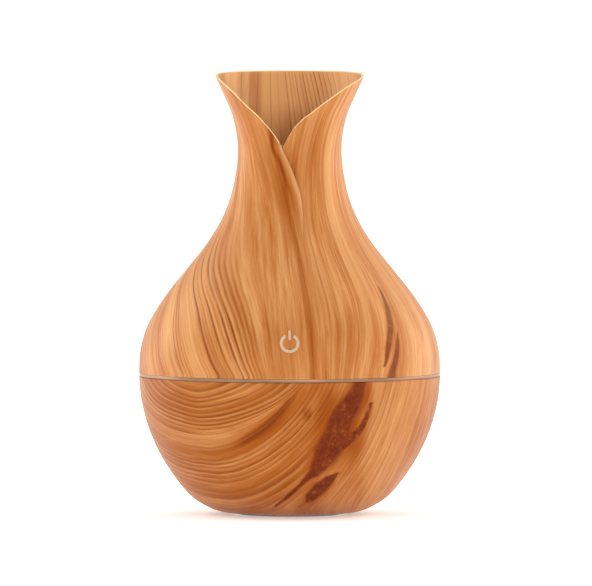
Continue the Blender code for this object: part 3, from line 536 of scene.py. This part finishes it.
class Shader:
    """A Principled material whose inputs are fed by small node chains."""

    def __init__(self, name, **values):
        self.mat = bpy.data.materials.new(name)
        self.mat.use_nodes = True
        self.tree = self.mat.node_tree
        self.surface = self.tree.nodes["Principled BSDF"]
        for key, value in values.items():
            self.surface.inputs[key.replace("_", " ")].default_value = value
        coordinates = self.node("TexCoord")
        self.position = self.vector("SCALE", coordinates.outputs["Object"], scale=1 / MM)

    def node(self, kind, **settings):
        node = self.tree.nodes.new("ShaderNode" + kind)
        for key, value in settings.items():
            setattr(node, key, value)
        return node

    def feed(self, socket, value):
        if isinstance(value, bpy.types.NodeSocket):
            self.tree.links.new(value, socket)
        else:
            socket.default_value = value

    def math(self, operation, a, b=0.0, c=0.0, clamp=False):
        node = self.node("Math", operation=operation, use_clamp=clamp)
        for socket, value in zip(node.inputs, (a, b, c)):
            self.feed(socket, value)
        return node.outputs[0]

    def spread(self, value, amount, around=0.0):
        """Turns a noise, which lies about 0.5, into a swing of this amount around a value."""
        return self.math("MULTIPLY_ADD", self.math("SUBTRACT", value, 0.5), amount, around)

    def vector(self, operation, a, b=None, scale=None):
        node = self.node("VectorMath", operation=operation)
        self.feed(node.inputs[0], a)
        if b is not None:
            self.feed(node.inputs[1], b)
        if scale is not None:
            self.feed(node.inputs["Scale"], scale)
        return node.outputs[0]

    def noise(self, scale, vector=None, detail=2.0, roughness=0.5):
        node = self.node("TexNoise")
        self.feed(node.inputs["Vector"], self.position if vector is None else vector)
        node.inputs["Scale"].default_value = scale
        node.inputs["Detail"].default_value = detail
        node.inputs["Roughness"].default_value = roughness
        return node.outputs[0]

    def remap(self, value, low, high, to_low=0.0, to_high=1.0, smooth=True):
        node = self.node("MapRange")
        node.interpolation_type = "SMOOTHSTEP" if smooth else "LINEAR"
        for socket, number in zip(node.inputs[:5], (value, low, high, to_low, to_high)):
            self.feed(socket, number)
        return node.outputs[0]

    def ramp(self, value, *stops):
        node = self.node("ValToRGB")
        elements = node.color_ramp.elements
        while len(elements) < len(stops):
            elements.new(1.0)
        for element, (place, color) in zip(elements, stops):
            element.position = place
            element.color = (*color, 1.0)
        self.feed(node.inputs[0], value)
        return node.outputs[0]

    def mix(self, factor, a, b):
        node = self.node("Mix", data_type="RGBA")
        self.feed(node.inputs[0], factor)
        for socket, color in ((node.inputs[6], a), (node.inputs[7], b)):
            self.feed(socket, color if isinstance(color, bpy.types.NodeSocket) else (*color, 1.0))
        return node.outputs[2]

    def strokes(self, place, lines):
        """How dark thin lines are: (place, half width, depth) each, in order. One ramp holds up
        to eight lines that lie close together."""
        total = 0.0
        groups = []
        for line in lines:
            if not groups or len(groups[-1]) == 8 or line[0] - groups[-1][-1][0] > LINE_GROUP_GAP:
                groups.append([])
            groups[-1].append(line)
        for group in groups:
            low, high = group[0][0] - 2, group[-1][0] + 2
            stops = []
            for middle, width, depth in group:
                stops += [(middle - width, 0.0), (middle, depth), (middle + width, 0.0)]
            stops = [((at - low) / (high - low), (depth,) * 3) for at, depth in stops]
            part = self.ramp(self.remap(place, low, high, smooth=False), *stops)
            total = self.math("ADD", total, part)
        return total

    def attribute(self, name, output):
        return self.node("Attribute", attribute_name=name).outputs[output]

    def bump(self, height, strength, distance):
        node = self.node("Bump")
        node.inputs["Strength"].default_value = strength
        node.inputs["Distance"].default_value = distance
        self.feed(node.inputs["Height"], height)
        self.feed(self.surface.inputs["Normal"], node.outputs[0])

    def color(self, value):
        self.feed(self.surface.inputs["Base Color"], value)

    def roughness(self, value):
        self.feed(self.surface.inputs["Roughness"], value)


def srgb(r, g, b):
    """A colour given as it looks on screen, 0 to 255, in linear light."""
    def linear(v):
        v /= 255
        return v / 12.92 if v <= 0.04045 else ((v + 0.055) / 1.055) ** 2.4
    return linear(r), linear(g), linear(b)


STUDIO_LIGHT = (1.25, 1.16, 1.16)     # diffuse light on the diffuser's front
STUDIO_SHEEN = (0.037, 0.022, 0.012)  # and what its satin surface reflects


def ink(r, g, b):
    """The print's colour where it looks like this, 0 to 255, under the studio's light."""
    return tuple(max(v - sheen, 0.003) / light
                 for v, sheen, light in zip(srgb(r, g, b), STUDIO_SHEEN, STUDIO_LIGHT))


def inks(*stops):
    return [(place, ink(*color)) for place, color in stops]


# The print's colours, from its ground to its knots
GROUND = inks((0.15, (232, 164, 108)), (0.40, (217, 144, 88)), (0.62, (202, 126, 70)),
              (0.90, (178, 99, 46)))
PALE_BAND, CUT_EDGE = ink(236, 170, 114), ink(255, 214, 160)
STREAK, DEEP_STREAK, FINE_LINE = ink(168, 88, 32), ink(140, 66, 22), ink(160, 84, 36)
LINE, LINE_EDGE = ink(140, 66, 20), ink(242, 180, 120)
KNOT_HALO = ink(164, 83, 30)
KNOT = inks((0.36, (112, 48, 18)), (0.60, (134, 64, 27)), (0.70, (172, 98, 52)))
RIM_LIGHT = 1.3              # figure value of the petals' cut edge, lighter than any pale band
EDGE_OFFSET = 0.6            # mm from a strong line to the light edge beside it


def wood_print(name, lines, depth, knot_depth, waves, fine):
    """Wood-grain film: bands, fibres and dark late-wood lines that run along the grain. Noise
    scales are per millimetre."""
    s = Shader(name, Specular_IOR_Level=0.24, Specular_Tint=(1.0, 0.6, 0.3, 1.0))
    figure = s.node("SeparateXYZ")
    s.feed(figure.inputs[0], s.attribute("figure", "Vector"))
    dark, close, light = figure.outputs
    knot = s.attribute("knot", "Fac")

    # The whole grain sways a little
    sway = s.spread(s.noise(0.05, detail=1.0), 2.2 * waves)
    shift = s.math("ADD", sway, s.spread(s.noise(0.33, detail=1.0), 0.25 * waves))
    moved = s.node("CombineXYZ")
    s.feed(moved.inputs[0], shift)
    grain = s.vector("ADD", s.attribute("grain", "Vector"), moved.outputs[0])
    across = s.math("ADD", s.attribute("across", "Fac"), s.math("MULTIPLY", shift, 0.6))

    # The ground, from broad bands down to pores
    streaks = s.noise(0.42, grain, detail=3.0, roughness=0.6)
    fibres = s.noise(2.2, grain, detail=4.0, roughness=0.65)
    tone = s.spread(s.noise(0.10, grain, detail=2.0), 1.1, 0.5 + depth)
    tone = s.spread(streaks, 1.15, tone)
    tone = s.spread(fibres, 0.75, tone)
    tone = s.spread(s.noise(1.6, detail=3.0, roughness=0.7), 0.12, tone)
    color = s.ramp(tone, *GROUND)

    # Pale bands, and brown streaks with soft uneven edges; on the shell these also lay down the painted
    # highlight and painted shade beside the fold and the painted light inside the collar
    color = s.mix(s.math("MULTIPLY", light, 0.75, clamp=True), color, PALE_BAND)
    color = s.mix(s.remap(light, 1.0, RIM_LIGHT), color, CUT_EDGE)
    brown = s.math("MULTIPLY", dark, s.remap(streaks, 0.3, 0.7, 0.65, 1.2))
    color = s.mix(s.math("MULTIPLY", brown, 1.5, clamp=True), color, STREAK)
    color = s.mix(s.remap(brown, 0.5, 1.0), color, DEEP_STREAK)

    # Thin late-wood lines all over, from the level lines of a slow noise
    level = s.math("MULTIPLY", s.noise(0.22, grain, detail=1.0), 11.0)
    ridge = s.math("ABSOLUTE", s.math("SUBTRACT", s.math("FRACT", level), 0.5))
    thin = s.remap(ridge, 0.03, 0.18, 1.0, 0.0)
    patchy = s.remap(s.noise(0.06, detail=2.0), 0.40, 0.62)
    color = s.mix(s.math("MULTIPLY", s.math("MULTIPLY", thin, patchy), fine), color, FINE_LINE)

    # The strong lines, broken in places, each dark with a light edge
    broken = s.remap(s.noise(0.8, grain, detail=2.0), 0.30, 0.52, 0.42, 1.0)
    broken = s.math("MULTIPLY", broken, s.remap(s.noise(0.11, detail=3.0), 0.34, 0.50, 0.72, 1.0))
    group = s.math("MULTIPLY", close, broken)
    crest = s.math("MULTIPLY", s.strokes(across, lines), group, clamp=True)
    edge = s.math("MULTIPLY", s.strokes(s.math("ADD", across, -EDGE_OFFSET), lines), group)
    color = s.mix(s.math("MULTIPLY", edge, 0.40, clamp=True), color, LINE_EDGE)
    color = s.mix(s.math("MULTIPLY", crest, 0.92), color, LINE)

    # Knots, mottled inside, with a brown halo
    grainy = s.spread(s.noise(0.9, grain, detail=3.0), 0.7)
    inside = s.remap(s.math("ADD", knot, grainy), -0.18, 0.32)
    mottle = s.ramp(s.noise(0.45, detail=5.0, roughness=0.75), *KNOT)
    halo = s.math("MULTIPLY", s.remap(knot, -1.0, 0.1), 0.8)
    color = s.mix(s.math("MULTIPLY", halo, knot_depth), color, KNOT_HALO)
    color = s.mix(s.math("MULTIPLY", inside, knot_depth), color, mottle)

    s.color(color)
    s.roughness(s.remap(fibres, 0.2, 0.8, 0.36, 0.48))
    relief = s.math("MULTIPLY_ADD", crest, -0.8, s.math("MULTIPLY", fibres, 0.2))
    s.bump(relief, 0.2, 0.00007)
    return s.mat


def clouded(name, light, dark, cloud, texture, gloss, relief=None, start=0.3, **values):
    """A material that drifts between two colours, with a fine texture in its gloss and relief.
    cloud and texture are (noise scale, detail), gloss is the roughness from smooth to rough."""
    s = Shader(name, **values)
    drift = s.noise(cloud[0], detail=cloud[1])
    s.color(s.ramp(drift, (start, srgb(*light)), (0.7, srgb(*dark))))
    grain = s.noise(texture[0], detail=texture[1])
    s.roughness(s.remap(grain, 0.3, 0.7, *gloss))
    if relief:
        s.bump(grain, *relief)
    return s.mat


def moulded_plastic(name, light, dark, roughness=0.42, grain=3.0):
    """Injection-moulded plastic: a faint cloudiness and a fine spark-eroded texture."""
    return clouded(name, light, dark, (0.06, 3), (grain, 2), (roughness - 0.05, roughness + 0.08),
                   (0.12, 0.00006), 0.35)


def rubbery(name, light, dark, roughness):
    return clouded(name, light, dark, (0.4, 3), (4.0, 3), (roughness - 0.06, roughness + 0.08),
                   (0.2, 0.00008), 0.35, Sheen_Weight=0.1)


def turned_steel():
    """Plated steel with faint turning marks around each screw."""
    s = Shader("steel", Metallic=1.0)
    s.color(s.ramp(s.noise(0.5, detail=3.0), (0.3, srgb(206, 206, 208)), (0.75, srgb(176, 176, 180))))
    stretched = s.vector("MULTIPLY", s.position, (0.4, 0.4, 6.0))
    marks = s.noise(2.0, stretched, detail=2.0)
    s.roughness(s.remap(marks, 0.3, 0.7, 0.22, 0.40))
    s.bump(marks, 0.15, 0.00004)
    return s.mat


def cotton():
    """Bonded cotton fibre, drawn along the wick."""
    s = Shader("cotton", Sheen_Weight=0.5, Roughness=0.95)
    drawn = s.vector("MULTIPLY", s.position, (2.2, 2.2, 0.35))
    fibre = s.noise(1.6, drawn, detail=4.0, roughness=0.65)
    s.color(s.ramp(fibre, (0.3, srgb(214, 208, 196)), (0.65, srgb(240, 236, 226))))
    s.bump(fibre, 0.7, 0.0004)
    return s.mat


def circuit_board():
    """Green solder mask with the copper's outlines faintly raised."""
    s = Shader("circuit_board", Coat_Weight=0.3)
    tracks = s.node("TexBrick")
    s.feed(tracks.inputs["Vector"], s.position)
    tracks.inputs["Scale"].default_value = 0.42
    tracks.inputs["Mortar Size"].default_value = 0.06
    weave = s.noise(2.2, detail=2.0)
    base = s.ramp(weave, (0.35, srgb(14, 92, 48)), (0.7, srgb(10, 74, 40)))
    s.color(s.mix(s.math("MULTIPLY", tracks.outputs["Fac"], 0.5), base, srgb(34, 128, 70)))
    s.roughness(s.remap(weave, 0.3, 0.7, 0.32, 0.44))
    s.bump(tracks.outputs["Fac"], 0.2, 0.00004)
    return s.mat


SHELL_PRINT = wood_print("shell_print", SHELL_LINES + INSIDE_LINES, depth=0.02, knot_depth=0.72,
                         waves=0.5, fine=0.20)
BOWL_PRINT = wood_print("bowl_print", BOWL_LINES, depth=0.25, knot_depth=1.0, waves=0.8, fine=0.26)
WHITE = moulded_plastic("white_plastic", (217, 213, 204), (207, 202, 192))
MATERIALS = {
    "wood_print": SHELL_PRINT,
    "white_plastic": WHITE,
    "silver_ring": clouded("silver_ring", (146, 110, 86), (130, 96, 74), (0.08, 2), (9.0, 2),
                           (0.28, 0.42), (0.08, 0.00003), 0.35, Metallic=0.5),
    "frosted_plastic": clouded("frosted_plastic", (196, 168, 142), (186, 158, 132), (0.9, 2),
                               (5.0, 2), (0.30, 0.40), Subsurface_Weight=0.2,
                               Subsurface_Scale=0.001),
    "silicone": rubbery("silicone", (214, 214, 210), (200, 200, 197), 0.45),
    "rubber_grey": rubbery("rubber_grey", (150, 146, 140), (134, 130, 126), 0.75),
    "steel": turned_steel(),
    "piezo_ceramic": clouded("piezo_ceramic", (214, 206, 184), (190, 182, 162), (1.2, 4), (3.0, 2),
                             (0.45, 0.6)),
    "cotton": cotton(),
    "circuit_board": circuit_board(),
    "component_black": moulded_plastic("component_black", (46, 46, 48), (34, 34, 36), 0.45, 5.0),
    "led_body": clouded("led_body", (250, 246, 222), (238, 228, 190), (0.8, 2), (3.0, 2),
                        (0.15, 0.28), Coat_Weight=0.5),
    "lead_red": moulded_plastic("lead_red", (176, 30, 24), (150, 22, 18), 0.4, 5.0),
    "lead_white": moulded_plastic("lead_white", (232, 232, 228), (216, 216, 212), 0.4, 5.0),
}


# -------- the upper shell

# Section of the overlap, round the left petal's edge and under it to the right petal: (degrees
# from the fold line, stand-out as a share of the fold's height)
OVERLAP = [(-1.6, 1.0), (-0.7, 0.97), (-0.1, 0.80), (0.0, 0.55), (-0.4, 0.25), (-1.8, 0.0),
           (-3.2, -0.15), (-3.8, -0.28), (-3.2, -0.38), (-1.8, -0.42)]
OVERLAP_REACH = 4.0          # degrees that hold it, and that spread out again where it fades
LIP = (-2.0, 6.0, 0.55)      # the left petal's lip: degrees from the fold, half width, share
LIP_FADE = 50.0              # degrees over which the rest of its stand-out fades
SINK, SINK_FADE = 0.42, 22.0 # how deep the right petal lies beside the fold, and its fade
BEND_REACH = 60.0            # degrees beside the fold within which the columns follow it
INSIDE_SHARE = 0.4           # share of the fold that also shows inside
FINE_STEP, COARSE_STEP, STEP_GROWTH = 0.8, 1.2, 1.12     # degrees between columns
OUTER_ROWS, INNER_ROWS = 118, 56
# Rows over the rim: (share of the way across the wall, lift as a share of the wall)
RIM_ROUND = ((0.12, 0.26), (0.35, 0.44), (0.65, 0.44), (0.88, 0.26))


def petal_lip(degrees):
    """Stand-out of the left petal: a lip along its edge, a shallow hollow, then the shell."""
    return float((1 - LIP[2]) * smooth_step(1 + degrees / LIP_FADE) + hump(degrees, *LIP))


def shell_section():
    """Columns round the shell: (degrees, stand-out, is it on the right petal, inner degrees)."""
    def spaced(start):
        """Angles from the fold round to the back, whose steps grow."""
        out, angle, step = [], start, FINE_STEP
        while abs(angle) < 179:
            out.append(angle)
            angle += math.copysign(step, start)
            step = min(step * STEP_GROWTH, COARSE_STEP)
        return out

    left = [(a, petal_lip(a), 0) for a in spaced(-2.4)]
    fold = [(a, share, int(share < 0)) for a, share in OVERLAP]
    right = [(a, -SINK * float(smooth_step(1 - a / SINK_FADE)), 1) for a in spaced(0.01)]
    columns = list(reversed(left)) + fold + right
    inner = np.interp(range(len(columns)), [0, len(left) - 1, len(left) + len(fold), len(columns) - 1],
                      [left[-1][0], left[0][0], right[0][0], right[-1][0]])
    inner[:len(left)] = [c[0] for c in reversed(left)]
    inner[-len(right):] = [c[0] for c in right]
    return [(*column, place) for column, place in zip(columns, inner)]


def bend(degrees, height):
    """Turns angles from the fold line into angles from the front."""
    return degrees + fold_line(height) * smooth_step(1 - np.abs(degrees) / BEND_REACH)


RIM_GUESS, RIM_ROUNDS = 130.0, 30


def rim_heights(degrees, right_petal):
    """Where the columns of the shell end at the top. A column that bends meets the rim at
    another height, so this settles in rounds."""
    tops = np.full(len(degrees), RIM_GUESS)
    for _ in range(RIM_ROUNDS):
        phi = bend(degrees, tops)
        rims = [np.interp(phi, edge[:, 0], edge[:, 1]) for edge in (LEFT_EDGE, RIGHT_EDGE)]
        tops = 0.5 * tops + 0.5 * np.where(right_petal, rims[1], rims[0])
    return tops


def make_shell():
    degrees, share, right, inner_degrees = np.array(shell_section()).T
    tops = rim_heights(degrees, right)

    def ring(height, radius, from_fold):
        angle = np.radians(bend(from_fold, height))
        return np.stack([radius * np.sin(angle), -radius * np.cos(angle), height], axis=1)

    rows = []
    for i in range(OUTER_ROWS + 1):
        height = SHELL_BOTTOM + (tops - SHELL_BOTTOM) * i / OUTER_ROWS
        fade = fold_fade(height)
        radius = vase_radius(height) + share * FOLD_HEIGHT * fade
        spread = np.where(np.abs(degrees) < OVERLAP_REACH,
                          degrees * fade + inner_degrees * (1 - fade), degrees)
        rows.append(ring(height, radius, spread))
    outer_top = rows[-1]

    def inner_ring(height):
        below_rim = tops - height
        wall = RIM_WALL + (SHELL_WALL - RIM_WALL) * smooth_step(below_rim / RIM_TAPER)
        slope = np.gradient(VASE[:, 0]) / np.gradient(VASE[:, 1])
        lean = np.interp(height, VASE[:, 1], slope)
        fold = np.minimum(share, INSIDE_SHARE) * FOLD_HEIGHT * fold_fade(height)
        radius = vase_radius(height) + fold - wall * np.sqrt(1 + lean * lean)
        return ring(height, radius, inner_degrees)

    inner_top = inner_ring(tops)
    thickness = np.linalg.norm(outer_top - inner_top, axis=1)[:, None]
    upward = outer_top - rows[-2]
    upward /= np.linalg.norm(upward, axis=1)[:, None]
    rows += [outer_top * (1 - t) + inner_top * t + upward * thickness * lift
             for t, lift in RIM_ROUND]
    rows += [inner_ring(tops + (SHELL_BOTTOM - tops) * i / INNER_ROWS)
             for i in range(INNER_ROWS + 1)]

    mesh = grid_mesh("printed_shell", rows, close_ends=True)
    points = np.concatenate(rows)
    per_row = len(degrees)
    first_rim = (OUTER_ROWS + 1) * per_row
    first_inner = first_rim + len(RIM_ROUND) * per_row
    inside = np.arange(len(points)) >= first_inner
    grain, across, figure, lenses = print_shell(points, np.tile(right, len(rows)), inside)
    figure[first_rim:first_inner] = (0.0, 0.0, RIM_LIGHT)
    store_print(mesh, grain, across, figure, lenses)
    mesh.materials.append(SHELL_PRINT)
    mesh.materials.append(WHITE)
    for face in mesh.polygons:
        if min(face.vertices) >= first_inner - per_row and face.center.z < PRINT_DEPTH * MM:
            face.material_index = 1
    shade(mesh, 40)
    shell = add_piece("printed_shell", mesh, "top", "vase_shell", slot="wood_print")
    cut(shell, box_cutter(PORT_SIZE, (0, BELLY_R, (port_low.z + port_high.z) / 2), PORT_CORNER))


def box_cutter(size, center, radius):
    """A rounded box, with its round corners in the XZ plane."""
    half_x, half_z = size[0] / 2 - radius, size[2] / 2 - radius
    corners = [(half_x, half_z, 0), (-half_x, half_z, 90), (-half_x, -half_z, 180),
               (half_x, -half_z, 270)]
    outline = [p for x, z, a in corners for p in arc(x, z, radius, a, a + 90, 6)]
    bm = bmesh.new()
    near = [bm.verts.new((x + center[0], center[1] - size[1] / 2, z + center[2])) for x, z in outline]
    far = [bm.verts.new((x + center[0], center[1] + size[1] / 2, z + center[2])) for x, z in outline]
    bm.faces.new(near)
    bm.faces.new(list(reversed(far)))
    for i in range(len(near)):
        j = (i + 1) % len(near)
        bm.faces.new((near[j], near[i], far[i], far[j]))
    bmesh.ops.scale(bm, vec=(MM, MM, MM), verts=bm.verts)
    bmesh.ops.recalc_face_normals(bm, faces=bm.faces)
    mesh = bpy.data.meshes.new("cutter")
    bm.to_mesh(mesh)
    bm.free()
    mesh.materials.append(WHITE)
    return mesh


def cut(piece, cutter_mesh):
    """Cuts a helper mesh out of a piece and keeps the result as the piece's own mesh."""
    helper = new_object("helper", cutter_mesh)
    modifier = piece.modifiers.new("cut", "BOOLEAN")
    modifier.operation = "DIFFERENCE"
    modifier.solver = "EXACT"
    modifier.object = helper
    modifier.material_mode = "TRANSFER"
    graph = bpy.context.evaluated_depsgraph_get()
    result = bpy.data.meshes.new_from_object(piece.evaluated_get(graph),
                                             preserve_all_data_layers=True, depsgraph=graph)
    piece.modifiers.remove(modifier)
    piece.data = result
    bpy.data.objects.remove(helper)


# -------- the tank

def make_bowl():
    """Its section goes up the outside, over the lip and down the bore to the floor, then under
    the base, where a recess holds the foot."""
    row_step, columns = 0.9, 240
    wall, mouth_r, bore_bottom = 2.2, 46.4, 33.0
    floor_r, floor_z, foot_r, recess_z = 20.0, 3.4, 17.0, 1.6
    outer_edge, inner_edge, axis_r = 0.25, 0.4, 0.01
    outer = even_steps(BOWL_OUTLINE, row_step)
    inner = [tuple(p) for p in inset(outer, wall)[::-3]
             if floor_z + 0.6 < p[1] < bore_bottom - 3 and p[0] > floor_r + 4]
    outline = [tuple(p) for p in outer[:-1]]
    outline += [(BELLY_R, BOWL_TOP - outer_edge), (BELLY_R - outer_edge, BOWL_TOP),
                (mouth_r + inner_edge, BOWL_TOP), (mouth_r, BOWL_TOP - inner_edge),
                (mouth_r, bore_bottom)]
    outline += inner + [(floor_r, floor_z), (axis_r, floor_z), (axis_r, recess_z),
                        (foot_r, recess_z), (foot_r, BOWL_BASE)]
    angles = np.linspace(-math.pi, math.pi, columns, endpoint=False)
    rows = lathe(outline, angles)
    mesh = grid_mesh("printed_bowl", rows, close_ends=True)
    store_print(mesh, *print_bowl(np.concatenate(rows)))
    mesh.materials.append(BOWL_PRINT)
    mesh.materials.append(WHITE)
    printed = (len(outer) + 1) * columns
    for face in mesh.polygons:
        face.material_index = int(max(face.vertices) >= printed)
    tidy_mesh(mesh)
    shade(mesh, 40)
    add_piece("printed_bowl", mesh, "tank", "tank_bowl", slot="wood_print")

    pad_r, pad_edge = pad_high.x, 0.4
    pad = rounded([(axis_r, pad_high.z), (pad_r, pad_high.z), (pad_r, pad_low.z),
                   (axis_r, pad_low.z)], pad_edge)
    mesh = turned("foot", pad, 96)
    mesh.materials.append(MATERIALS["rubber_grey"])
    add_piece("foot", mesh, "tank", "foot_pad", slot="rubber_grey")


# -------- the seam ring

def make_ring():
    inner, lip, outer = 44.4, 45.9, BELLY_R - 0.12
    outline = rounded([(inner, ring_high.z), (lip, ring_high.z), (lip, RING_TOP), (outer, RING_TOP),
                       (outer, RING_LOW), (inner, RING_LOW)], 0.12, 3)
    mesh = turned("seam_ring", outline, 240)
    mesh.materials.append(MATERIALS["silver_ring"])
    add_piece("seam_ring", mesh, "top", "light_ring", slot="silver_ring")


# -------- the studio

def add_light(name, location, target, energy, size, color=(1, 1, 1)):
    data = bpy.data.lights.new(name, "AREA")
    data.energy = energy
    data.shape = "RECTANGLE"
    data.size, data.size_y = size
    data.color = color
    light = new_object(name, data)
    light.location = location
    aim(light, target)


WORLD_LIGHT = 0.45           # the world's strength as a light
WORLD_WHITE = 1.0            # and where the camera sees it past the floor's edge


def make_studio():
    """A round white floor that turns up at its far edge, and soft light from all sides."""
    s = Shader("studio_paper")
    s.color(s.ramp(s.noise(0.004, detail=2.0), (0.3, (0.93, 0.93, 0.93)), (0.7, (0.95, 0.95, 0.95))))
    s.roughness(s.remap(s.noise(0.05), 0.3, 0.7, 0.85, 0.95))
    # It glows a little, more away from the diffuser, so that it stays white
    flat = s.vector("MULTIPLY", s.position, (1.0, 1.0, 0.0))
    away = s.node("VectorMath", operation="LENGTH")
    s.feed(away.inputs[0], flat)
    s.feed(s.surface.inputs["Emission Strength"],
           s.remap(away.outputs["Value"], 100.0, 900.0, 0.30, 0.62))
    s.feed(s.surface.inputs["Emission Color"], (1.0, 1.0, 1.0, 1.0))
    floor_r, edge_r, edge_top = 12.0, 1.5, 3.0   # metres
    profile = [(r, 0.0) for r in (0.0, 0.3, 1.0, 3.0, floor_r)]
    profile += [(floor_r + edge_r * math.sin(a), edge_r - edge_r * math.cos(a))
                for a in np.radians(np.linspace(15, 90, 6))]
    profile += [(floor_r + edge_r, edge_top)]
    mesh = bpy.data.meshes.new("floor")
    steps = 64
    verts = [(r * math.cos(a), r * math.sin(a), z) for r, z in profile
             for a in np.linspace(0, 2 * math.pi, steps, endpoint=False)]
    faces = [(row * steps + i, row * steps + (i + 1) % steps, (row + 1) * steps + (i + 1) % steps,
              (row + 1) * steps + i) for row in range(len(profile) - 1) for i in range(steps)]
    mesh.from_pydata(verts, [], faces)
    tidy_mesh(mesh)
    mesh.shade_smooth()
    mesh.materials.append(s.mat)
    new_object("floor", mesh)

    # The world lights the diffuser softly, and is as white as the floor where it shows past it
    world = bpy.data.worlds.new("studio")
    world.use_nodes = True
    nodes, links = world.node_tree.nodes, world.node_tree.links
    nodes["Background"].inputs["Color"].default_value = (1, 1, 1, 1)
    seen = nodes.new("ShaderNodeLightPath")
    strength = nodes.new("ShaderNodeMapRange")
    strength.inputs["To Min"].default_value = WORLD_LIGHT
    strength.inputs["To Max"].default_value = WORLD_WHITE
    links.new(seen.outputs["Is Camera Ray"], strength.inputs["Value"])
    links.new(strength.outputs[0], nodes["Background"].inputs["Strength"])
    bpy.context.scene.world = world

    middle = (0, 0, 0.07)
    warm = (1.0, 0.93, 0.78)
    add_light("left_box", (-1.0, 0.45, 0.5), middle, 9.0, (0.8, 1.2), warm)
    add_light("right_box", (1.0, 0.45, 0.5), middle, 9.0, (0.8, 1.2), warm)
    add_light("top_box", (0, 0.2, 1.9), (0, 0.2, 0), 17.0, (2.4, 2.0))
    add_light("front_fill", (0.2, -2.4, 0.55), middle, 22.0, (2.2, 0.7))
    bpy.context.scene.view_settings.view_transform = "Standard"


def make_camera():
    distance, elevation, aim_height, sideways = 8.0, math.radians(2.6), 0.0734, 0.0021
    data = bpy.data.cameras.new("camera")
    data.sensor_width = 36.0
    data.lens = 1469.0
    camera = new_object("camera", data)
    camera.location = (sideways, -distance, aim_height + distance * math.tan(elevation))
    aim(camera, (sideways, 0, aim_height))
    bpy.context.scene.camera = camera


# -------- CAD pieces that stay

def paint_frame():
    """Gives each CAD node its material, by its slot in the record."""
    slots = {part["node"]: part["material_slot"] for part in frame["record"]["subparts"]}
    for name, obj in frame["nodes"].items():
        material = MATERIALS[slots[name]]
        if not obj.material_slots:
            obj.data.materials.append(material)
        for slot in obj.material_slots:
            slot.material = material


make_camera()
make_studio()
paint_frame()
make_shell()
make_bowl()
make_ring()
